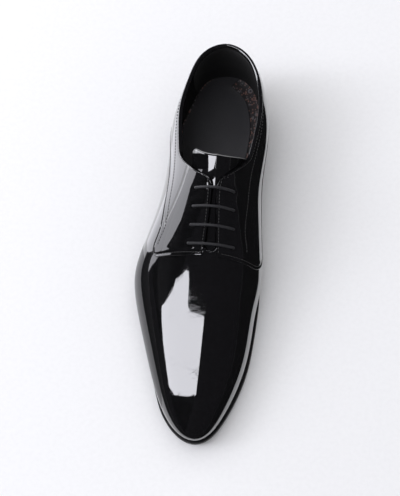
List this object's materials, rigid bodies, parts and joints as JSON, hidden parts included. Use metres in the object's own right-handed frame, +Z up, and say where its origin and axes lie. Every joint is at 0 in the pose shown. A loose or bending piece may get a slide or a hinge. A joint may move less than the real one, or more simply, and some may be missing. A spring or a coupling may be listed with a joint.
{
  "type": "patent shoe",
  "caption": "Low black patent lace-up dress shoe with a long plain toe, open-laced facings over a tongue, straight thin lace bars, a slim sole and a low heel, for the right foot.",
  "frame": {"origin": "middle of the shoe's box, on the floor that it stands on", "axes": "+Z up; the toe points along -Y and the heel along +Y; the outer side of the foot is at -X and the inner side at +X"},
  "size_m": [0.099, 0.3038, 0.0955],
  "materials": {
    "patent": "black patent leather, mirror gloss",
    "sole": "smooth black sole and heel, satin",
    "top_lift": "black rubber, matt",
    "lining": "charcoal lining leather, matt",
    "cord": "thin waxed black cord"
  },
  "bodies": {
    "root": {"upper": "patent", "outsole": "sole", "heel_stack": "sole", "heel_top_lift": "top_lift", "insole": "lining", "tongue": "patent", "laces": "cord"}
  },
  "joints": []
}
